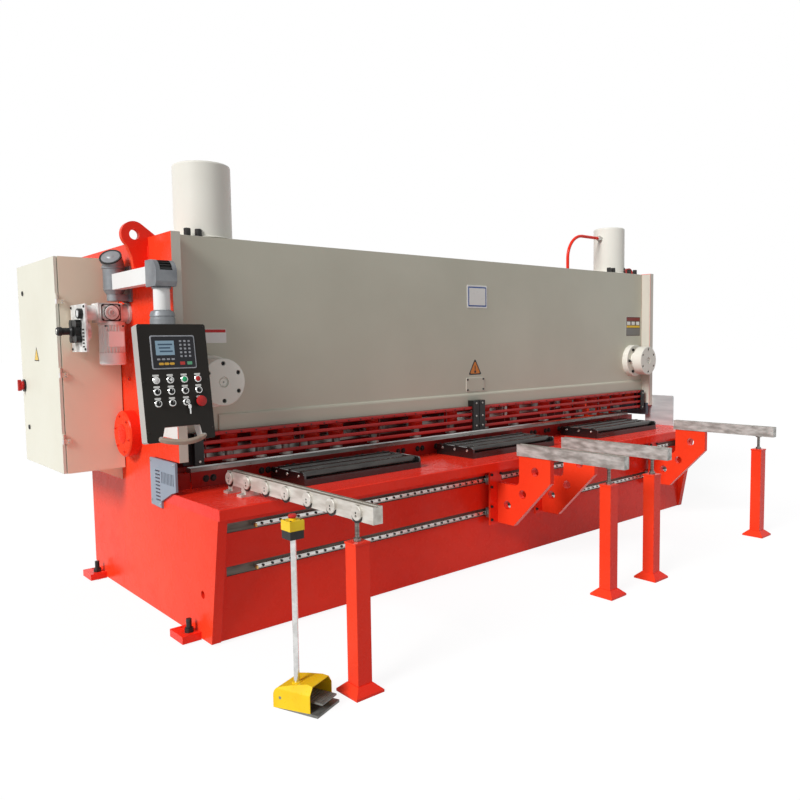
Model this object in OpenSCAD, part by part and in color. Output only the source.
// Hydraulic plate shear, 4 m cutting length: two side plates carry the table, the front beam
// and the raked knife beam. Lengths are laid out from the middle of the machine and the table's
// front edge; the part's origin is under the left front levelling screw, on the floor.
// +X runs to the operator's right, +Y to the back of the machine, +Z up.

/* [Frame] */
// Length over the outer faces of the two side plates
machine_length = 4900; // [4600:10:6200]
// Thickness of a side plate
side_plate_t = 54; // [40:1:80]
// Height of the side plates' top
side_plate_top = 2240; // [2200:5:2500]
// Height of the side plates' bottom edge above the floor
plate_floor_gap = 14; // [10:1:30]
// Depth from the table's front edge to the side plates' rear edge
side_plate_rear = 1950; // [1900:5:2300]
// Depth from the table's front edge to the column's front edge
column_front = 462; // [455:1:475]
// Depth from the table's front edge to the lower body's front edge, at the floor
body_front = 140; // [110:1:144]
// Height of the throat above the table
throat_h = 190; // [160:1:260]
// Depth of the throat behind the column's front edge
throat_depth = 400; // [380:1:460]
// Rounding of the throat's inner corner
throat_round = 70; // [30:5:120]
// Width of a foot block
foot_w = 110; // [90:1:140]
// Thickness of a foot block
foot_t = 42; // [30:1:60]

/* [Table] */
// Height of the table's top
table_top = 770; // [740:1:900]
// Thickness of the table slab
slab_t = 62; // [50:1:68]
// Thickness of the front apron plate
apron_t = 30; // [20:1:40]
// Depth from the table's front edge to the knife bed's front face
bed_front = 635; // [600:1:640]
// Height of the knife bed above the table
bed_h = 96; // [80:1:110]
// Distance from the side plates' outer faces to the bed's ends
bed_end_gap = 145; // [120:1:200]
// Height of the lower knife's top above the bed
knife_proud = 24; // [10:1:30]
// Depth of the lower knife's top face
knife_depth = 58; // [40:1:60]
// Height of the knife bars
knife_h = 80; // [60:1:90]
// Clear gap in depth between the two knives
knife_gap = 6; // [6:1:10]
// Gap between the knives at the left end, where the cut starts
knife_open = 25; // [24:1:40]
// Rise of the upper knife's edge from the left end to the right
knife_rake = 110; // [60:1:120]

/* [Front beam] */
// Depth from the table's front edge to the front beam's face
beam_front = 553; // [548:1:560]
// Height of the front beam's bottom edge
beam_bottom = 1112; // [1090:1:1150]
// Thickness of the front beam's plate
beam_plate_t = 30; // [20:1:36]
// Height of the thicker band along the front beam's bottom
beam_lip_h = 100; // [60:1:140]
// How far that band stands out
beam_lip_out = 12; // [6:1:14]
// Height of the round covers' centre
cover_z = 1405; // [1380:1:1500]
// Distance of the round covers from the side plates' outer faces
cover_x = 237; // [230:1:420]
// Diameter of the round covers
cover_d = 268; // [200:1:280]
// How far the round covers stand out from the beam
cover_out = 190; // [150:1:230]
// Diameter of the hold-downs' housings
hold_down_d = 104; // [90:1:108]

/* [Cylinders] */
// Diameter of the left drive cylinder
cylinder_left_d = 340; // [280:1:350]
// Diameter of the right drive cylinder
cylinder_right_d = 290; // [240:1:340]
// Height of the left cylinder's top
cylinder_left_top = 2680; // [2620:5:2900]
// Height of the right cylinder's top
cylinder_right_top = 2675; // [2620:5:2900]
// Depth from the table's front edge to the cylinders' axes
cylinder_y = 745; // [740:1:800]
// Distance of the cylinders' axes from the side plates' outer faces
cylinder_x = 330; // [300:1:420]

/* [Finger guard] */
// Depth from the table's front edge to the guard bars' front
guard_front = 498; // [490:1:505]
// Height of one guard bar
guard_bar_h = 22; // [12:1:30]
// Distance between the guard bars
guard_pitch = 48.5; // [40:0.5:50]
// Width of the channels that hold the guard's ends
guard_end_w = 56; // [40:1:70]

/* [Roller frames] */
// Length of a roller frame
roller_frame_l = 930; // [700:5:1000]
// Depth of a roller frame
roller_frame_w = 380; // [300:5:390]
// Diameter of a roller
roller_d = 60; // [40:1:66]

/* [Support arms] */
// Height of the arms' top
arm_top = 895; // [890:1:960]
// Width of a support arm
arm_w = 54; // [40:1:80]
// Height of a support arm
arm_h = 80; // [60:1:100]
// Distance that the arms' free ends stand out in front of the table
arm_reach = 945; // [900:5:1200]
// Gap between the table's edge and a support arm's inner end
arm_gap = 95; // [60:1:120]
// Width of a post's square tube
post_w = 80; // [60:1:100]
// Height of a post without its screw
post_h = 700; // [600:5:720]
// Diameter of the posts' screws
post_screw_d = 20; // [16:1:34]
// Distance of the left support arm from the left side plate's outer face
arm_left_x = 2238; // [2150:1:2300]
// Distance of the middle support arm from the left side plate's outer face
arm_middle_x = 2740; // [2700:1:2900]
// Distance of the right support arm from the right side plate's outer face
arm_right_x = 560; // [500:1:700]
// Thickness of a bracket's gusset plate
gusset_t = 40; // [20:1:50]
// Width of a bracket's back plate
carriage_w = 120; // [100:1:160]

/* [Electrics] */
// Width of the cabinet across the machine
cabinet_w = 374; // [300:1:500]
// Depth of the cabinet
cabinet_d = 840; // [780:5:900]
// Height of the cabinet
cabinet_h = 1318; // [1200:5:1400]
// Height of the cabinet's bottom
cabinet_z = 843; // [800:1:950]
// Depth from the table's front edge to the cabinet's front
cabinet_y = 1277; // [1270:1:1300]
// Thickness of the cabinet's sheet
cabinet_sheet = 3; // [2:0.5:5]
// Width of the pendant's face
pendant_w = 376; // [320:1:384]
// Height of the pendant box
pendant_h = 616; // [560:1:660]
// Depth of the pendant box
pendant_d = 70; // [60:1:80]
// How far the pendant's face leans back, in degrees
pendant_lean = 8; // [4:0.5:12]

/* [Hidden] */
$fn = 48;

xl = -machine_length / 2;
xr = machine_length / 2;
inner_l = xl + side_plate_t;
inner_r = xr - side_plate_t;
inner_len = inner_r - inner_l;
slab_bottom = table_top - slab_t;
throat_top = table_top + throat_h;
throat_rear = column_front + throat_depth;
bed_top = table_top + bed_h;
knife_top = bed_top + knife_proud;
knife_y = bed_front + 5;
knife_rear = knife_y + knife_depth;
bed_len = machine_length - 2 * bed_end_gap;
upper_knife_y = knife_rear + knife_gap;
beam_rear = beam_front + beam_plate_t;
arm_bottom = arm_top - arm_h;
fit = 0.3;

// The left front levelling screw stands on the part's origin.
foot_y = [262, side_plate_rear - 214];
foot_d = 164;
foot_screw_x = 47;
foot_screw_y = 53;
origin_x = xl - foot_screw_x;
origin_y = foot_y[0] + foot_screw_y;
module seated() { translate([-origin_x, -origin_y, 0]) children(); }

// A block with its lowest corner at p and its sizes in s.
module block(p, s) { translate(p) cube(s); }

// A plate standing across the machine: outline in (depth, height), thickness along +X.
module yz_plate(x, t) {
  translate([x, 0, 0]) rotate([90, 0, 90]) linear_extrude(t) children();
}

// A plate standing along the machine: outline in (X, height), thickness towards the back.
module xz_plate(y, t) {
  translate([0, y + t, 0]) rotate([90, 0, 0]) linear_extrude(t) children();
}

// A rod along X.
module rod_x(p, d, l) { translate(p) rotate([0, 90, 0]) cylinder(d = d, h = l); }

// A rod along Y, towards the back.
module rod_y(p, d, l) { translate(p) rotate([-90, 0, 0]) cylinder(d = d, h = l); }

// A rod up along Z.
module rod_z(p, d, l) { translate(p) cylinder(d = d, h = l); }

// A disc with its axis along X and a bevel of c round its outer edge at the x end.
module bevel_disc_x(p, d, l, c) {
  translate(p) rotate([0, 90, 0]) {
    translate([0, 0, c]) cylinder(d = d, h = l - c);
    cylinder(d1 = d - 2 * c, d2 = d, h = c);
  }
}

// Points on a circle's arc from angle a0 to a1.
function arc(c, r, a0, a1, n = 8) =
  [for (k = [0 : n]) let (a = a0 + (a1 - a0) * k / n) [c[0] + r * cos(a), c[1] + r * sin(a)]];

heel = 80;
module side_outline() {
  difference() {
    polygon(concat([[body_front, plate_floor_gap], [side_plate_rear - heel, plate_floor_gap],
      [side_plate_rear, plate_floor_gap + heel], [side_plate_rear, side_plate_top], [column_front, side_plate_top],
      [column_front, throat_top]],
      arc([throat_rear - throat_round, throat_top - throat_round], throat_round, 90, 0),
      [[throat_rear, slab_bottom], [18, slab_bottom]]));
    translate([body_front + 87, 267]) circle(d = 44);
  }
}

module side_plate_left() {
  color("orangered") yz_plate(xl, side_plate_t) side_outline();
}

module side_plate_right() {
  color("orangered") yz_plate(inner_r, side_plate_t) side_outline();
}

// Rail strips are milled into the apron's front face.
apron_front = 148;
rail_z = [388, 625];
rail_strip_h = 54;
rail_strip_depth = 6;
rail_h = 24;
rail_out = 26;
rail_end = 278;
module front_apron() {
  color("orangered") difference() {
    block([inner_l, apron_front, plate_floor_gap], [inner_len, apron_t, slab_bottom - plate_floor_gap]);
    for (z = rail_z)
      block([inner_l + 50, apron_front - 1, z - rail_strip_h / 2],
        [inner_len - 100, 1 + rail_strip_depth, rail_strip_h]);
  }
}

// A linear rail has a groove in its upper and lower side for the carriages.
rail_back = apron_front + rail_strip_depth;
rail_face = rail_back - rail_out;
module guide_rails() {
  g = rail_h / 2;
  color("lightgray") for (z = rail_z)
    yz_plate(xl + rail_end, machine_length - 2 * rail_end) polygon([[rail_face, z - g], [rail_back, z - g],
      [rail_back, z + g], [rail_face, z + g], [rail_face, z + g - 2], [rail_face + 2, z + g - 2],
      [rail_face + 4, z + g - 4], [rail_face + 4, z - g + 4], [rail_face + 2, z - g + 2], [rail_face, z - g + 2]]);
}

slab_edge = 5;
module table_slab() {
  depth = bed_front + 60;
  color("orangered") yz_plate(xl, machine_length) polygon([[0, slab_bottom], [depth, slab_bottom],
    [depth, table_top], [slab_edge, table_top], [0, table_top - slab_edge]]);
}

module knife_bed() {
  seat = bed_top - knife_h + knife_proud;
  color("orangered") yz_plate(xl + bed_end_gap, bed_len) polygon([[bed_front, table_top],
    [knife_rear, table_top], [knife_rear, seat], [knife_y, seat], [knife_y, bed_top], [bed_front, bed_top]]);
  color("orangered") for (x = [inner_l + 6, xr - bed_end_gap])
    block([x, bed_front + 12, table_top], [bed_end_gap - side_plate_t - 6, knife_rear - bed_front - 12, bed_h - 4]);
}

module lower_knife() {
  color("silver") yz_plate(xl + bed_end_gap, bed_len) polygon([[knife_y, knife_top - knife_h],
    [knife_rear, knife_top - knife_h], [knife_rear, knife_top], [knife_y + 2, knife_top], [knife_y, knife_top - 2]]);
}

// The front beam is a plate with a thicker band at the bottom, a seat for the hold-downs
// and ribs behind.
beam_seat_d = 84;
beam_lip_x = 289;
beam_rib_n = 8;
beam_rib_t = 14;
module front_beam() {
  top = side_plate_top - 3;
  color("tan") {
    yz_plate(inner_l, inner_len) polygon([[beam_front, beam_bottom],
      [beam_rear + beam_seat_d, beam_bottom], [beam_rear + beam_seat_d, beam_bottom + 60],
      [beam_rear, beam_bottom + 60], [beam_rear, top], [beam_front, top]]);
    yz_plate(xl + beam_lip_x, inner_r - xl - beam_lip_x) polygon([[beam_front - beam_lip_out, beam_bottom],
      [beam_front + 5, beam_bottom], [beam_front + 5, beam_bottom + beam_lip_h], [beam_front, beam_bottom + beam_lip_h],
      [beam_front - beam_lip_out + 3, beam_bottom + beam_lip_h - 8],
      [beam_front - beam_lip_out, beam_bottom + beam_lip_h - 18]]);
    for (i = [0 : beam_rib_n - 1])
      yz_plate(inner_l + 620 + i * (inner_len - 1240 - beam_rib_t) / (beam_rib_n - 1), beam_rib_t)
        polygon([[beam_rear, beam_bottom + 60], [beam_rear + beam_seat_d, beam_bottom + 60],
          [beam_rear + beam_seat_d, beam_bottom + 300], [beam_rear + 50, beam_bottom + 420],
          [beam_rear + 50, top - 60], [beam_rear, top - 20]]);
  }
}

// Hold-downs stand closer together towards the ends of the machine.
hold_down_at = [184, 550, 950, 1270, 1465, 1665, 1855, 2065];
hold_down_y = beam_rear + 31;
hold_down_foot = knife_top + 24;
module hold_down() {
  top = beam_bottom - hold_down_foot;
  r = hold_down_d / 2;
  rotate_extrude() polygon([[0, 0], [r - 12, 0], [r - 10, 2], [r - 10, 18], [r - 24, 22], [r - 24, 66],
    [r - 4, 66], [r, 70], [r, top - 14], [r + 3, top - 14], [r + 3, top], [0, top]]);
}

module hold_down_feet() {
  reach = (bed_len / 2 - 240) / hold_down_at[len(hold_down_at) - 1];
  color("dimgray") for (s = [-1, 1], at = hold_down_at)
    translate([s * at * reach, hold_down_y, hold_down_foot]) hold_down();
}

// The knife beam swings behind the hold-downs; its lower edge follows the rake.
function rake(x) = knife_rake * (x - xl - bed_end_gap) / bed_len;
knife_low = knife_top + knife_open;
knife_bar_t = 30;
knife_beam_y = upper_knife_y + knife_bar_t;
knife_beam_t = 46;
knife_beam_top = side_plate_top - 190;
knife_beam_rib_n = 7;
knife_floor_d = 300;
module knife_beam() {
  low = knife_low + 14;
  shelf = knife_low + 150;
  rear = knife_beam_y + knife_beam_t;
  color("firebrick") {
    xz_plate(knife_beam_y, knife_beam_t) polygon([[inner_l, low + rake(inner_l)], [inner_r, low + rake(inner_r)],
      [inner_r, knife_beam_top], [inner_l, knife_beam_top]]);
    xz_plate(rear, knife_floor_d) polygon([[inner_l, shelf + rake(inner_l)], [inner_r, shelf + rake(inner_r)],
      [inner_r, shelf + 36 + rake(inner_r)], [inner_l, shelf + 36 + rake(inner_l)]]);
    for (i = [0 : knife_beam_rib_n - 1]) {
      x = inner_l + i * (inner_len - 20) / (knife_beam_rib_n - 1);
      yz_plate(x, 20) polygon([[rear, shelf + 20 + rake(x)], [rear + knife_floor_d - 20, shelf + 20 + rake(x)],
        [rear + knife_floor_d - 20, shelf + 120 + rake(x)], [rear + 90, knife_beam_top - 260],
        [rear + 90, knife_beam_top - 20], [rear, knife_beam_top - 20]]);
    }
  }
}

module upper_knife() {
  a = xl + bed_end_gap;
  b = a + bed_len;
  color("silver") xz_plate(upper_knife_y, knife_bar_t) polygon([[a, knife_low], [b, knife_low + knife_rake],
    [b, knife_low + knife_rake + knife_h], [a, knife_low + knife_h]]);
}

// A drive cylinder stands on a heavy flange; its rod reaches down to the knife beam.
flange_top = side_plate_top + 3;
flange_t = 60;
module drive_cylinder(side, d, top) {
  x = side * (machine_length / 2 - cylinder_x);
  wall = side * inner_len / 2;
  far = side * (machine_length / 2 - cylinder_x - d / 2 - 60);
  color("linen") {
    translate([x, cylinder_y, flange_top]) rotate_extrude() polygon([[0, 0], [d / 2 + 8, 0],
      [d / 2 + 8, 3], [d / 2, 8], [d / 2, top - flange_top - 12], [d / 2 - 4, top - flange_top - 4],
      [d / 2 - 12, top - flange_top], [0, top - flange_top]]);
    block([min(wall, far), beam_rear, flange_top - flange_t], [abs(wall - far), cylinder_y - beam_rear + 180, flange_t]);
    rod_z([x, cylinder_y, knife_beam_top], 130, flange_top - flange_t - knife_beam_top);
  }
}

module drive_cylinders() {
  drive_cylinder(-1, cylinder_left_d, cylinder_left_top);
  drive_cylinder(1, cylinder_right_d, cylinder_right_top);
}

// A round cover: flange on the beam, a neck and a thick disc with six counterbored holes.
cover_flange_t = 54;
cover_neck = 46;
cover_neck_d = 180;
cover_hole_n = 6;
module round_cover(x) {
  r = cover_d / 2;
  translate([x, beam_front, cover_z]) rotate([90, 0, 0]) difference() {
    rotate_extrude() polygon([[0, 0], [r + 16, 0], [r + 16, cover_flange_t - 3], [r + 13, cover_flange_t],
      [cover_neck_d / 2, cover_flange_t], [cover_neck_d / 2, cover_flange_t + cover_neck], [r - 3, cover_flange_t + cover_neck],
      [r, cover_flange_t + cover_neck + 3], [r, cover_out - 4], [r - 4, cover_out],
      [31, cover_out], [31, cover_out - 12], [22, cover_out - 12], [22, cover_out - 5], [0, cover_out - 5]]);
    for (i = [0 : cover_hole_n - 1]) rotate([0, 0, 360 * (i + 0.5) / cover_hole_n])
      translate([r - 28, 0, cover_out - 14]) cylinder(d = 26, h = 20);
  }
}

module round_covers() {
  color("linen") {
    round_cover(xl + cover_x);
    round_cover(xr - cover_x);
  }
}

// Finger guard: four bevelled bars on flat uprights; the top bar is an angle under the beam.
guard_out = 50;
guard_bar_t = 14;
guard_upright_n = 8;
guard_upright_w = 8;
guard_sheet = 8;
guard_bars = 4;
guard_top = beam_bottom - fit;
function guard_z(k) = guard_top - guard_bar_h - k * guard_pitch;
module guard_bar(z) {
  a = xl + guard_out + side_plate_t + guard_sheet + fit;
  yz_plate(a, -2 * a) polygon([[guard_front + 4, z], [guard_front + guard_bar_t, z],
    [guard_front + guard_bar_t, z + guard_bar_h], [guard_front + 4, z + guard_bar_h],
    [guard_front, z + guard_bar_h - 5], [guard_front, z + 5]]);
}

module finger_guard() {
  a = xl + guard_out + side_plate_t + guard_end_w + 20;
  pitch = (-2 * a - guard_upright_w) / (guard_upright_n - 1);
  color("red") {
    for (k = [0 : guard_bars - 1]) guard_bar(guard_z(k));
    block([a, guard_front + guard_bar_t, guard_top - 6], [-2 * a, beam_front - guard_front - guard_bar_t, 6]);
    for (i = [0 : guard_upright_n - 1])
      block([a + i * pitch, guard_front + guard_bar_t, guard_z(guard_bars - 1)],
        [guard_upright_w, 10, guard_top - guard_z(guard_bars - 1)]);
  }
}

// Channels hold the guard's ends; a pair of posts holds its middle.
guard_low = guard_z(guard_bars - 1) - 16;
module guard_channel() {
  a = xl + side_plate_t + guard_out;
  h = guard_top - guard_low;
  block([a, guard_front - 12, guard_low], [guard_sheet, beam_front + 8 - guard_front + 12, h]);
  block([a, guard_front - 12, guard_low], [guard_end_w, guard_sheet, h]);
  block([a, beam_front - 22, guard_low], [guard_end_w, 30, h]);
  block([inner_l, beam_front - 22, guard_low], [guard_out, 12, h]);
}

module guard_brackets() {
  color("black") {
    guard_channel();
    mirror([1, 0, 0]) guard_channel();
    for (x = [-65, 3]) {
      block([x, guard_front - 16, guard_low], [62, 16 - fit, beam_bottom + 46 - guard_low]);
      block([x, guard_front - 16, beam_bottom + 4], [62, beam_front - beam_lip_out - guard_front + 16, 42]);
    }
  }
}

// Left: a vented plate over the throat. Right: a flat steel plate beside the table's end.
vent_n = 9;
module throat_covers() {
  color("slategray") yz_plate(xl - 14, 14) difference() {
    polygon([[494, throat_top - 4], [851, throat_top - 4], [851, 675], [704, 668], [704, slab_bottom],
      [560, table_top + 2], [494, table_top + 20]]);
    for (i = [0 : vent_n - 1]) translate([522 + 20 * i, table_top + 50]) square([8, 66]);
    for (i = [0 : vent_n - 1]) translate([712, table_top - 62 + 21.5 * i]) square([66, 9]);
  }
  color("silver") yz_plate(xr, 6) polygon([[237, table_top], [536, table_top], [536, table_top + 282],
    [528, table_top + 290], [245, table_top + 290], [237, table_top + 282]]);
}

eccentric_y = 1130;
eccentric_z = 1075;
eccentric_d = 286;
eccentric_out = 70;
module eccentric_covers() {
  color("red") {
    bevel_disc_x([xl - eccentric_out, eccentric_y, eccentric_z], eccentric_d, eccentric_out, 8);
    mirror([1, 0, 0]) bevel_disc_x([xl - eccentric_out, eccentric_y, eccentric_z], eccentric_d, eccentric_out, 8);
  }
}

// A lifting ear faces the front, with a hooked neck, and laps over the side plate's top.
lug_y = 794;
lug_t = 34;
lug_x = 78;
lug_r = 75;
lug_z = side_plate_top + 11;
lug_hole_d = 58;
module lifting_lug() {
  xz_plate(lug_y - lug_t / 2, lug_t) difference() {
    union() {
      translate([xl - lug_x, lug_z]) circle(r = lug_r);
      polygon([[xl, side_plate_top - 178], [xl, side_plate_top], [xl + side_plate_t, side_plate_top],
        [xl + side_plate_t, side_plate_top + 8], [xl - lug_x + lug_r * cos(56), lug_z + lug_r * sin(56)],
        [xl - lug_x - lug_r * cos(14), lug_z - lug_r * sin(14)], [xl - 118, side_plate_top - 61],
        [xl - 96, side_plate_top - 116], [xl - 88, side_plate_top - 178]]);
    }
    translate([xl - lug_x, lug_z]) circle(d = lug_hole_d);
  }
}

module lifting_lugs() {
  color("red") {
    lifting_lug();
    mirror([1, 0, 0]) lifting_lug();
  }
}

// A foot block is welded to the side plate; its levelling screw stands on the floor.
foot_pad = 6;
foot_screw_d = 30;
module foot(y) {
  x = xl - foot_screw_x;
  screw_y = y + foot_screw_y;
  difference() {
    block([xl - foot_w, y, foot_pad + 2], [foot_w, foot_d, foot_t]);
    rod_z([x, y + foot_d - 22, 0], 20, 100);
  }
  rod_z([x, screw_y, 0], 62, foot_pad);
  rod_z([x, screw_y, foot_pad], foot_screw_d, foot_t + 76);
  translate([x, screw_y, foot_pad + 2 + foot_t]) cylinder(d = 52, h = 24, $fn = 6);
}

module foot_blocks() {
  color("orangered") for (y = foot_y) {
    foot(y);
    mirror([1, 0, 0]) foot(y);
  }
}

// One roller frame stands on the table with its low left corner at x; three rollers turn in it.
roller_frame_h = 84;
roller_frame_y = 215;
roller_frame_x = [660, 2100, 3620];
roller_n = 3;
end_plate_t = 14;
journal_d = 20;
journal_fit = 0.05;
roller_z = table_top + roller_frame_h - roller_d / 2 - 1;

function roller_y(i) = roller_frame_y + roller_frame_w * (i + 0.5) / roller_n;

module roller_frame(x) {
  rear = roller_frame_y + roller_frame_w;
  color("black") {
    for (y = [roller_frame_y, rear - 6]) block([x, y, table_top], [roller_frame_l, 6, 40]);
    for (y = [roller_frame_y, rear - 30]) block([x, y, table_top], [roller_frame_l, 30, 6]);
    for (e = [x, x + roller_frame_l - end_plate_t]) difference() {
      yz_plate(e, end_plate_t) polygon([[roller_frame_y, table_top], [rear, table_top],
        [rear, table_top + roller_frame_h - 20], [rear - 12, table_top + roller_frame_h - 8],
        [roller_frame_y + 12, table_top + roller_frame_h - 8], [roller_frame_y, table_top + roller_frame_h - 20]]);
      for (i = [0 : roller_n - 1])
        rod_x([e - 1, roller_y(i), roller_z], journal_d + 2 * journal_fit, end_plate_t + 2);
    }
  }
}

module roller_frames() { for (x = roller_frame_x) roller_frame(xl + x); }

module roller(f, i) {
  x = xl + roller_frame_x[f];
  body = roller_frame_l - 2 * end_plate_t - 4;
  color("dimgray") translate([x + end_plate_t + 2, roller_y(i), roller_z]) rotate([0, 90, 0]) {
    translate([0, 0, -end_plate_t - 2]) cylinder(d = journal_d, h = roller_frame_l);
    rotate_extrude() polygon([[0, 0], [roller_d / 2 - 2, 0], [roller_d / 2, 2], [roller_d / 2, body - 2],
      [roller_d / 2 - 2, body], [0, body]]);
  }
}
module roller_a1() { roller(0, 0); }
module roller_a2() { roller(0, 1); }
module roller_a3() { roller(0, 2); }
module roller_b1() { roller(1, 0); }
module roller_b2() { roller(1, 1); }
module roller_b3() { roller(1, 2); }
module roller_c1() { roller(2, 0); }
module roller_c2() { roller(2, 1); }
module roller_c3() { roller(2, 2); }

// The squaring arm is a bar with a scale groove, on two feet, with flip-up stops on its side.
squaring_x = 285;
squaring_rear = 400;
stop_n = 7;
stop_d = 72;
module squaring_arm() {
  x = xl + squaring_x - arm_w / 2;
  low = arm_bottom;
  color("silver") {
    yz_bar(x, arm_w, -arm_reach, squaring_rear);
    for (y = [190, 345]) {
      block([x - 30, y, table_top], [arm_w + 60, 50, 14]);
      block([x, y, table_top], [arm_w, 50, low - table_top]);
    }
    for (i = [0 : stop_n - 1]) difference() {
      bevel_disc_x([x - 14, -arm_reach + 110 + i * 200, arm_top - arm_h / 2], stop_d, 14, 2);
      rod_x([x - 15, -arm_reach + 110 + i * 200, arm_top - arm_h / 2 - 16], 13, 10);
    }
  }
}

// A bar along the depth with a shallow groove in its top.
groove_w = 18;
groove_depth = 3;
module yz_bar(x, w, y0, y1) {
  translate([0, y1, 0]) rotate([90, 0, 0]) linear_extrude(y1 - y0) polygon([[x, arm_bottom], [x + w, arm_bottom],
    [x + w, arm_top], [x + (w + groove_w) / 2, arm_top], [x + (w + groove_w) / 2, arm_top - groove_depth],
    [x + (w - groove_w) / 2, arm_top - groove_depth], [x + (w - groove_w) / 2, arm_top], [x, arm_top]]);
}

// A post: flared foot, square tube, cap, and a screw with its nut under the arm.
post_foot_w = 160;
post_foot_h = 45;
module post(x, y) {
  color("orangered") {
    translate([x, y, 0]) rotate([0, 0, 45]) {
      cylinder(d = post_foot_w * sqrt(2), h = 12, $fn = 4);
      translate([0, 0, 12]) cylinder(d1 = post_foot_w * sqrt(2), d2 = (post_w + 8) * sqrt(2), h = post_foot_h - 12, $fn = 4);
    }
    difference() {
      block([x - post_w / 2, y - post_w / 2, post_foot_h], [post_w, post_w, post_h - post_foot_h]);
      block([x - post_w / 2 + 5, y - post_w / 2 + 5, post_foot_h + 5], [post_w - 10, post_w - 10, post_h - post_foot_h - 15]);
    }
    block([x - post_w / 2 - 3, y - post_w / 2 - 3, post_h], [post_w + 6, post_w + 6, 10]);
  }
  color("dimgray") {
    rod_z([x, y, post_h + 10], post_screw_d, arm_bottom - post_h - 10);
    translate([x, y, post_h + 10]) cylinder(d = post_screw_d * 1.9, h = 16, $fn = 6);
    rod_z([x, y, arm_bottom - 8], 44, 8);
  }
}

post_y = 125 - arm_reach;
module squaring_post() { post(xl + squaring_x, 155 - arm_reach); }
module arm_post_left() { post(xl + arm_left_x, post_y); }
module arm_post_middle() { post(xl + arm_middle_x, post_y); }
module arm_post_right() { post(xr - arm_right_x, post_y); }

module support_arm(x) {
  color("silver") yz_bar(x - arm_w / 2, arm_w, -arm_reach, -arm_gap);
}
module support_arm_left() { support_arm(xl + arm_left_x); }
module support_arm_middle() { support_arm(xl + arm_middle_x); }
module support_arm_right() { support_arm(xr - arm_right_x); }

// The bracket's gusset clears the slab; its back plate carries it on both rails.
carriage_t = 24;
back_t = 16;
back_front = rail_face - fit - carriage_t - back_t;
carriage_leg = 12;
gusset_round = 40;
module carriage(x, z) {
  g = rail_h / 2 + fit;
  f = rail_face - fit;
  yz_plate(x, carriage_w - 10) polygon([[f - carriage_t, z - 35], [f + carriage_leg, z - 35], [f + carriage_leg, z - g],
    [f, z - g], [f, z + g], [f + carriage_leg, z + g], [f + carriage_leg, z + 35], [f - carriage_t, z + 35]]);
}

module gusset_outline() {
  difference() {
    polygon(concat([[back_front, 310], [back_front, 600]],
      arc([-110 + gusset_round, 600 + gusset_round], gusset_round, 270, 180),
      [[-110, arm_bottom], [-380, arm_bottom], [-380, 650], [-60, 310]]));
    translate([-250, 716]) circle(d = 62);
    translate([-140, 545]) circle(d = 62);
    translate([0, 450]) circle(d = 62);
  }
}

module bracket(x) {
  color("orangered") {
    yz_plate(x - gusset_t / 2, gusset_t) gusset_outline();
    block([x - carriage_w + gusset_t / 2, back_front, 300], [carriage_w, back_t, 385]);
  }
  color("gray") for (z = rail_z) carriage(x - carriage_w + gusset_t / 2 + 5, z);
}
module bracket_left() { bracket(xl + arm_left_x); }
module bracket_middle() { bracket(xl + arm_middle_x); }
module bracket_right() { bracket(xr - arm_right_x); }

cabinet_x = xl - cabinet_w - 6;
door_t = 22;
door_sheet = 3;
module cabinet_body() {
  in_y = cabinet_y + cabinet_sheet + 22;
  color("linen") {
    difference() {
      block([cabinet_x + door_t, cabinet_y, cabinet_z], [cabinet_w - door_t, cabinet_d, cabinet_h]);
      block([cabinet_x + door_t + 18, cabinet_y + cabinet_sheet, cabinet_z + cabinet_sheet],
        [cabinet_w - door_t - 18 - cabinet_sheet, cabinet_d - 2 * cabinet_sheet, cabinet_h - 2 * cabinet_sheet]);
      block([cabinet_x + door_t - 1, in_y, cabinet_z + cabinet_sheet + 22],
        [20, cabinet_d - 2 * (in_y - cabinet_y), cabinet_h - 2 * cabinet_sheet - 44]);
    }
    block([cabinet_x + 60, cabinet_y + 60, cabinet_z + cabinet_h], [cabinet_w - 90, cabinet_d - 120, 4]);
    for (z = [cabinet_z + 150, cabinet_z + cabinet_h - 150])
      block([xl - 6, cabinet_y + 100, z - 30], [6, side_plate_rear - cabinet_y - 150, 60]);
    for (y = [cabinet_y + 70, side_plate_rear - 90]) yz_plate_x(y);
    for (z = hinge_z) hinge_body(z);
  }
}

// A bracket on the side plate under the cabinet: outline in (X, height).
module yz_plate_x(y) {
  xz_plate(y, 40) polygon([[xl, cabinet_z - 90], [xl, cabinet_z], [xl - 150, cabinet_z], [xl - 150, cabinet_z - 14]]);
}

door_gap = 5;
hinge_x = cabinet_x + 4;
hinge_y = cabinet_y - 9;
hinge_d = 16;
hinge_pin_d = 8;
hinge_half = 30;
hinge_z = [cabinet_z + 215, cabinet_z + 618, cabinet_z + 1062];
pin_fit = 0.05;

// The cabinet's half of a hinge: a leaf on the front face, a knuckle and the pin.
module hinge_body(z) {
  rod_z([hinge_x, hinge_y, z - hinge_half], hinge_d, hinge_half);
  block([hinge_x, hinge_y - 2, z - hinge_half], [46, 11, hinge_half]);
  rod_z([hinge_x, hinge_y, z - 1], hinge_pin_d, hinge_half - 1);
}

// The door's half: a knuckle that turns on the pin.
module hinge_door(z) {
  difference() {
    union() {
      rod_z([hinge_x, hinge_y, z + fit], hinge_d, hinge_half);
      block([cabinet_x, hinge_y, z + fit], [door_t - door_gap, 12, hinge_half]);
    }
    rod_z([hinge_x, hinge_y, z - 1], hinge_pin_d + 2 * pin_fit, hinge_half + 3);
  }
}

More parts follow.
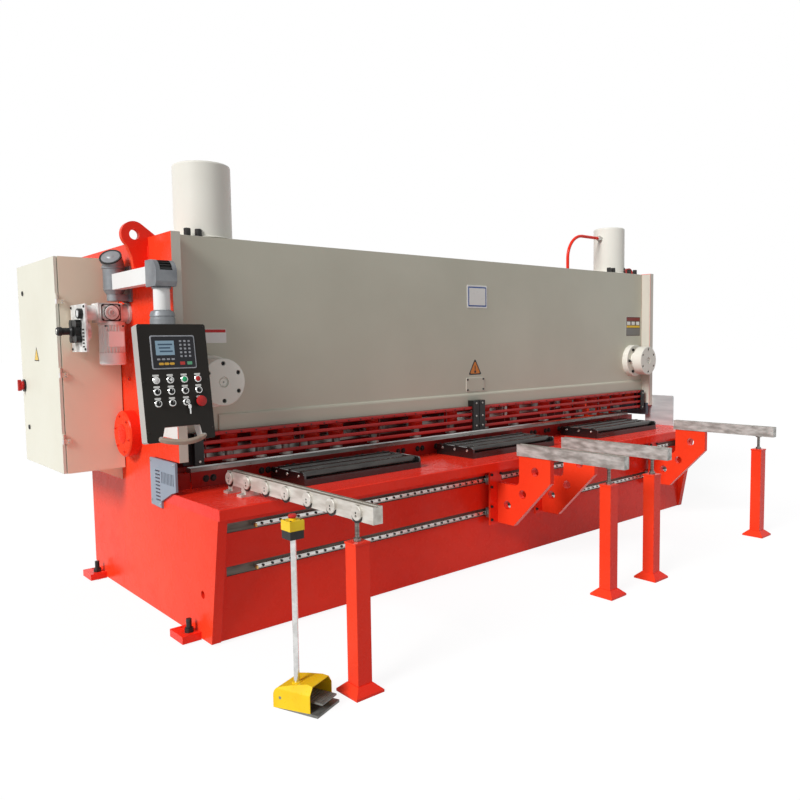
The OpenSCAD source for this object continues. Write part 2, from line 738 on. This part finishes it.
// The door is a folded pan with a turned-in edge, and carries the switch's black plate.
door_edge = 24;
switch_y = cabinet_y + 790;
switch_z = 1360;
switch_plate_t = 10;
module cabinet_door() {
  color("linen") {
    difference() {
      block([cabinet_x, cabinet_y + 2, cabinet_z + 2], [door_t - door_gap, cabinet_d - 4, cabinet_h - 4]);
      block([cabinet_x + door_sheet, cabinet_y + 2 + door_edge, cabinet_z + 2 + door_edge],
        [door_t, cabinet_d - 4 - 2 * door_edge, cabinet_h - 4 - 2 * door_edge]);
    }
    for (z = hinge_z) hinge_door(z);
    rod_x([cabinet_x - switch_plate_t, switch_y, switch_z], 84, switch_plate_t);
  }
}

module main_switch() {
  x = cabinet_x - switch_plate_t - fit;
  color("red") {
    bevel_disc_x([x - 14, switch_y, switch_z], 60, 14, 2);
    yz_plate(x - 34, 21) polygon([[switch_y - 11, switch_z - 30], [switch_y - 7, switch_z - 36],
      [switch_y + 7, switch_z - 36], [switch_y + 11, switch_z - 30], [switch_y + 8, switch_z + 34],
      [switch_y, switch_z + 40], [switch_y - 8, switch_z + 34]]);
  }
}

// Pendant arm: a swivel casting on the side plate, a level tube and an elbow casting.
knuckle_x = xl - 85;
knuckle_y = 1115;
elbow_y = 415;
arm_tube_z = 1955;
arm_tube_h = 92;
arm_tube_w = 60;
swivel_z = 1930;
swivel_pin_d = 60;
elbow_pin_d = 50;
module pendant_mount() {
  color("dimgray") {
    block([xl - 12, knuckle_y - 70, 1885], [12, 140, 215]);
    block([knuckle_x, knuckle_y - 45, 1890], [xl - 12 - knuckle_x, 90, 40]);
    rod_z([knuckle_x, knuckle_y, 1890], 90, 40);
    rod_z([knuckle_x, knuckle_y, swivel_z], swivel_pin_d, 150);
  }
}

// The elbow casting: a block with a rounded top front and a ribbed recess.
elbow_w = 116;
module elbow_casting() {
  difference() {
    yz_plate(knuckle_x - elbow_w / 2, elbow_w) polygon(concat([[elbow_y + 66, swivel_z], [elbow_y + 66, swivel_z + 142]],
      arc([elbow_y - 6, swivel_z + 72], 70, 90, 180), [[elbow_y - 76, swivel_z + 26], [elbow_y - 62, swivel_z]]));
    yz_plate(knuckle_x - 34, 68) polygon(concat([[elbow_y + 30, swivel_z + 153]],
      arc([elbow_y - 6, swivel_z + 72], 62, 80, 170), arc([elbow_y - 6, swivel_z + 72], 81, 170, 80)));
  }
  for (k = [0 : 4]) rotate_at_elbow(95 + 17 * k);
}

// One cooling rib across the elbow's recess, at angle a on its rounding.
module rotate_at_elbow(a) {
  translate([knuckle_x - 34, elbow_y - 6, swivel_z + 72]) rotate([a, 0, 0]) block([0, 60, -2], [68, 9, 4]);
}

module pendant_arm() {
  color("whitesmoke") difference() {
    union() {
      translate([knuckle_x, knuckle_y, swivel_z + fit]) rotate_extrude() polygon([[0, 0], [48, 0], [62, 26],
        [62, 150], [67, 154], [67, 170], [62, 174], [62, 196], [52, 222], [30, 240], [0, 244]]);
      block([knuckle_x - arm_tube_w / 2, elbow_y + 40, arm_tube_z], [arm_tube_w, knuckle_y - elbow_y - 40, arm_tube_h]);
      block([knuckle_x - 52, elbow_y + 64, swivel_z + 6], [104, 18, 130]);
      elbow_casting();
    }
    rod_z([knuckle_x, knuckle_y, swivel_z - 10], swivel_pin_d + 2 * pin_fit, 165);
    rod_z([knuckle_x, elbow_y, swivel_z - 10], elbow_pin_d + 2 * pin_fit, 70);
  }
}

// The pendant: a leaning box with a hand hole and a curved handle at the bottom.
pendant_top = 1728;
pendant_front = 110;
pendant_round = 8;
collar_h = 78;
module pendant_face() {
  w = pendant_w / 2;
  c = pendant_round;
  difference() {
    polygon([[-w + c, 0], [w - c, 0], [w, -c], [w, -pendant_h + c], [w - c, -pendant_h],
      [119, -pendant_h], [104, -pendant_h + 76], [-89, -pendant_h + 76], [-111, -pendant_h],
      [-w + c, -pendant_h], [-w, -pendant_h + c], [-w, -c]]);
  }
}

// Everything in the box's own leaning frame: origin at the middle of the face's top edge.
module at_pendant() {
  translate([knuckle_x, elbow_y - pendant_front, pendant_top]) rotate([-pendant_lean, 0, 0]) children();
}

handle_out = 46;
module pendant_handle() {
  span = 250;
  r = (pow(span / 2, 2) + pow(handle_out, 2)) / (2 * handle_out);
  a = asin(span / 2 / r);
  translate([4, r - handle_out, 0]) rotate([0, 0, 270 - a]) rotate_extrude(angle = 2 * a, $fn = 120)
    translate([r - 12, 0]) polygon([[0, 4], [4, 0], [20, 0], [24, 4], [24, 22], [20, 26], [4, 26], [0, 22]]);
}

module control_pendant() {
  color("whitesmoke") {
    rod_z([knuckle_x, elbow_y, pendant_top + collar_h - 10], 87, swivel_z - fit - pendant_top - collar_h + 10);
    rod_z([knuckle_x, elbow_y, swivel_z - fit - 1], elbow_pin_d, 56);
  }
  color("dimgray") translate([knuckle_x, elbow_y, pendant_top - 12]) rotate_extrude() polygon([[0, 0], [66, 0],
    [66, 44], [63, 48], [63, 54], [66, 58], [60, collar_h + 4], [44, collar_h + 12], [0, collar_h + 12]]);
  color("dimgray") block([knuckle_x - 60, elbow_y - 75, pendant_top - 130], [120, 130, 120]);
  color("black") at_pendant() {
    rotate([90, 0, 0]) translate([0, 0, -pendant_d]) linear_extrude(pendant_d) pendant_face();
    translate([0, 14, -pendant_h + 8]) rotate([35, 0, 0]) pendant_handle();
  }
}

// Blade-gap drive: plate with the wheel's bearing, worm gearbox, flanged motor with fins.
gap_y = 1130;
gap_z = 1726;
wheel_z = gap_z - 18;
wheel_shaft_d = 20;
motor_x = xl - 106;
motor_d = 150;
motor_fin_n = 24;
module motor_fins() {
  polygon([for (k = [0 : motor_fin_n - 1], q = [0 : 3]) let (a = 360 * (k + q / 4) / motor_fin_n,
    r = motor_d / 2 - (q < 2 ? 0 : 9)) [r * cos(a), r * sin(a)]]);
}

module gap_drive() {
  color("silver") difference() {
    union() {
      block([xl - 300, gap_y - 132, gap_z - 140], [12, 264, 280]);
      rod_x([xl - 289, gap_y, wheel_z], 110, 46);
      rod_x([xl - 289, gap_y, gap_z + 92], 90, 90);
      block([xl - 200, gap_y - 62, gap_z + 34], [142, 124, 116]);
      block([xl - 190, gap_y - 70, gap_z + 44], [122, 140, 96]);
      rod_y([xl - 129, gap_y - 84, gap_z + 92], 84, 168);
      rod_x([xl - 60, gap_y, gap_z + 92], 110, 60);
      rod_x([xl - 14, gap_y, gap_z + 92], 128, 14);
      rod_z([motor_x, gap_y, gap_z + 18], 158, 22);
      translate([motor_x, gap_y, gap_z - 150]) linear_extrude(172) motor_fins();
      translate([motor_x, gap_y, gap_z - 222]) rotate_extrude() polygon([[0, 0], [66, 0], [77, 8], [77, 74], [0, 74]]);
      block([motor_x - 52, gap_y - 96, gap_z - 112], [92, 40, 92]);
    }
    rod_x([xl - 301, gap_y, wheel_z], wheel_shaft_d + 2 * pin_fit, 48);
    for (k = [0 : 5]) rotate_vent(k);
  }
}

// A slot in the motor's fan cowl.
module rotate_vent(k) {
  translate([motor_x - 45 + 16 * k, gap_y - 40 + 6 * abs(k - 2.5), gap_z - 223]) cube([8, 80 - 12 * abs(k - 2.5), 6]);
}

// The handwheel: a four-lobed knob and a long grip with an end cap.
wheel_d = 172;
lobe_n = 4;
module gap_handwheel() {
  x = xl - 306;
  color("black") {
    rod_x([x - 26, gap_y, wheel_z], wheel_d - 50, 26);
    for (k = [0 : lobe_n - 1]) translate([x - 28, gap_y, wheel_z]) rotate([90 * k + 45, 0, 0])
      rod_x([0, wheel_d / 2 - 24, 0], 48, 30);
    translate([x - 26, gap_y, wheel_z]) rotate([0, -90, 0]) rotate_extrude() polygon([[0, 0], [30, 0], [30, 14],
      [21, 22], [21, 60], [26, 66], [26, 84], [20, 93], [0, 93]]);
    rod_x([x, gap_y, wheel_z], 40, 6 - fit);
    rod_x([x, gap_y, wheel_z], wheel_shaft_d, 47);
  }
}

// Rear ties: a low channel and a high one between the side plates.
tie_t = 20;
module tie_channel(y, z, h) {
  yz_plate(inner_l, inner_len) polygon([[y, z], [y + 90, z], [y + 90, z + tie_t], [y + tie_t, z + tie_t],
    [y + tie_t, z + h - tie_t], [y + 90, z + h - tie_t], [y + 90, z + h], [y, z + h]]);
}

module rear_ties() {
  color("orangered") {
    tie_channel(side_plate_rear - 330, 300, 260);
    tie_channel(side_plate_rear - 330, side_plate_top - 360, 300);
  }
}

// The back gauge: two guide arms on the table's rear edge carry its stop beam and screws.
gauge_y = 1180;
gauge_z = table_top + 20;
gauge_h = 170;
gauge_arm_l = 820;
gauge_screw_d = 32;
module back_gauge() {
  from = knife_rear;
  color("tan") {
    xr_gauge = inner_len / 2 - 90;
    yz_plate(-xr_gauge, 2 * xr_gauge) difference() {
      translate([gauge_y, gauge_z]) square([90, gauge_h]);
      translate([gauge_y + 8, gauge_z + 8]) square([74, gauge_h - 16]);
    }
    for (s = [-1, 1]) {
      x = s * (inner_len / 2 - 620);
      block([x - 35, from, gauge_z - 74], [70, gauge_arm_l, 60]);
      block([x - 60, bed_front + 60, slab_bottom], [120, 30, slab_t]);
      block([x - 50, gauge_y - 20, gauge_z - 14], [100, 130, 14]);
      block([x - 60, from + gauge_arm_l, gauge_z - 90], [180, 20, 96]);
      rod_y([x + 80, from + 24, gauge_z - 40], gauge_screw_d, gauge_arm_l - 24);
      block([x + 56, from, gauge_z - 66], [48, 24, 52]);
      block([x + 55, gauge_y, gauge_z - 64], [50, 50, 64]);
    }
  }
}

// The oil tank is a sheet-metal box with a lid and a filler, on the high rear tie.
tank_x = xl + 1500;
tank_w = 1300;
tank_y = side_plate_rear - 240 + 4;
tank_low = side_plate_top - 360;
module oil_tank() {
  d = side_plate_rear - tank_y;
  color("orangered") {
    block([tank_x, tank_y, tank_low], [tank_w, d, 330]);
    block([tank_x - 14, tank_y - 4, tank_low + 330], [tank_w + 28, d + 4, 8]);
    rod_z([tank_x + 220, tank_y + d / 2, tank_low + 338], 90, 26);
    rod_z([tank_x + 220, tank_y + d / 2, tank_low + 364], 70, 22);
  }
}

// The foot switch stands on the floor by itself, turned a little from the machine.
pedal_x = xl + 22;
pedal_y = -709;
pedal_turn = 21;
pedal_w = 170;
pedal_l = 200;
pedal_h = 124;
pedal_base_t = 12;
pedal_wall = 4;
pedal_pivot_z = 50;
pedal_pivot_y = 62;
pedal_pin_d = 14;
module at_pedal() { translate([pedal_x, pedal_y, 0]) rotate([0, 0, pedal_turn]) children(); }

// The hood's side outline in (length, height): high at the mouth, rounded down to the back.
module hood_side(c) {
  polygon(concat([[-pedal_l / 2, pedal_base_t], [-pedal_l / 2, pedal_h - c], [-pedal_l / 2 + 30, pedal_h + 4 - c],
    [10, pedal_h - 12 - c]], arc([pedal_l / 2 - 46, pedal_base_t + 42], 46 - c, 62, 0, 6), [[pedal_l / 2 - c, pedal_base_t]]));
}

// The hood's front outline in (width, height): upright walls, then slanted shoulders.
module hood_front(c) {
  w = pedal_w / 2 - c;
  polygon([[-w, 0], [w, 0], [w, pedal_h - 34], [w - 26, pedal_h + 6 - c], [-w + 26, pedal_h + 6 - c], [-w, pedal_h - 34]]);
}

module hood_solid(c) {
  intersection() {
    yz_plate(-pedal_w / 2, pedal_w) hood_side(c);
    xz_plate(-pedal_l / 2, pedal_l) hood_front(c);
  }
}

module pedal_hood() {
  color("gold") at_pedal() {
    difference() {
      hood_solid(0);
      intersection() {
        translate([0, -pedal_wall, 0]) yz_plate(-pedal_w / 2 + pedal_wall, pedal_w - 2 * pedal_wall) hood_side(pedal_wall);
        xz_plate(-pedal_l, 2 * pedal_l) hood_front(pedal_wall);
      }
      rod_x([-pedal_w / 2 - 1, pedal_pivot_y, pedal_pivot_z], pedal_pin_d + 2 * pin_fit, pedal_w + 2);
    }
    block([-pedal_w / 2, -pedal_l / 2 - 40, 0], [pedal_w, pedal_l + 40, pedal_base_t]);
  }
  color("gold") rod_z([stalk_x, stalk_y, pedal_h - 22], 44, 18);
}

module pedal_treadle() {
  color("gray") at_pedal() {
    rod_x([-pedal_w / 2, pedal_pivot_y, pedal_pivot_z], pedal_pin_d, pedal_w);
    difference() {
      block([-56, -pedal_l / 2 - 45, pedal_pivot_z - 4], [112, pedal_l / 2 + 45 + pedal_pivot_y, 8]);
      for (k = [0 : 5]) block([-50, -pedal_l / 2 - 36 + 16 * k, pedal_pivot_z + 2], [100, 6, 3]);
    }
  }
}

// The stop button's box stands on a tube that is screwed into the hood's boss.
stalk_x = xl - 13;
stalk_y = -719;
stop_w = 74;
stop_z = 766;
module stop_box() {
  color("gold") {
    rod_z([stalk_x, stalk_y, pedal_h - 4], 26, stop_z - pedal_h + 4);
    block([stalk_x - stop_w / 2 + 2, stalk_y - stop_w / 2 + 2, stop_z], [stop_w - 4, stop_w - 4, 38]);
    block([stalk_x - stop_w / 2, stalk_y - stop_w / 2, stop_z + 38], [stop_w, stop_w, 44]);
    rod_z([stalk_x, stalk_y, stop_z + 82], 30, 8);
    translate([stalk_x, stalk_y, stop_z + 90]) rotate_extrude() polygon([[0, 0], [12, 0], [12, 4], [20, 6], [20, 12], [16, 17], [0, 19]]);
  }
}

// The pipe leaves the right cylinder, bends down behind the beam and runs to the tank.
pipe_x = xr - 985;
pipe_d = 28;
pipe_bend = 220;
pipe_high = 2575;
pipe_low = side_plate_top - 45;
pipe_rear = 1490;
module hydraulic_pipe() {
  color("red") {
    rod_x([pipe_x + pipe_bend, cylinder_y, pipe_high], pipe_d,
      xr - cylinder_x - cylinder_right_d / 2 - pipe_x - pipe_bend);
    translate([pipe_x + pipe_bend, cylinder_y, pipe_high - pipe_bend]) rotate([90, 0, 0]) rotate([0, 0, 90])
      rotate_extrude(angle = 90) translate([pipe_bend, 0]) circle(d = pipe_d);
    rod_z([pipe_x, cylinder_y, pipe_low], pipe_d, pipe_high - pipe_bend - pipe_low);
    rod_y([pipe_x, cylinder_y, pipe_low], pipe_d, pipe_rear - cylinder_y);
    rod_x([tank_x + tank_w - 60, pipe_rear, pipe_low], pipe_d, pipe_x - tank_x - tank_w + 60);
    rod_y([tank_x + tank_w - 60, pipe_rear, pipe_low], pipe_d, tank_y - pipe_rear);
    for (p = [[pipe_x, cylinder_y, pipe_low], [pipe_x, pipe_rear, pipe_low], [tank_x + tank_w - 60, pipe_rear, pipe_low]])
      translate(p) sphere(d = pipe_d);
  }
}

seated() side_plate_left();
seated() side_plate_right();
seated() front_apron();
seated() table_slab();
seated() knife_bed();
seated() lower_knife();
seated() front_beam();
seated() hold_down_feet();
seated() knife_beam();
seated() upper_knife();
seated() drive_cylinders();
seated() round_covers();
seated() finger_guard();
seated() guard_brackets();
seated() throat_covers();
seated() eccentric_covers();
seated() lifting_lugs();
seated() foot_blocks();
seated() guide_rails();
seated() roller_frames();
seated() roller_a1();
seated() roller_a2();
seated() roller_a3();
seated() roller_b1();
seated() roller_b2();
seated() roller_b3();
seated() roller_c1();
seated() roller_c2();
seated() roller_c3();
seated() squaring_arm();
seated() squaring_post();
seated() bracket_left();
seated() bracket_middle();
seated() bracket_right();
seated() support_arm_left();
seated() support_arm_middle();
seated() support_arm_right();
seated() arm_post_left();
seated() arm_post_middle();
seated() arm_post_right();
seated() cabinet_body();
seated() cabinet_door();
seated() main_switch();
seated() pendant_mount();
seated() pendant_arm();
seated() control_pendant();
seated() gap_drive();
seated() gap_handwheel();
seated() rear_ties();
seated() back_gauge();
seated() oil_tank();
seated() pedal_hood();
seated() pedal_treadle();
seated() stop_box();
seated() hydraulic_pipe();
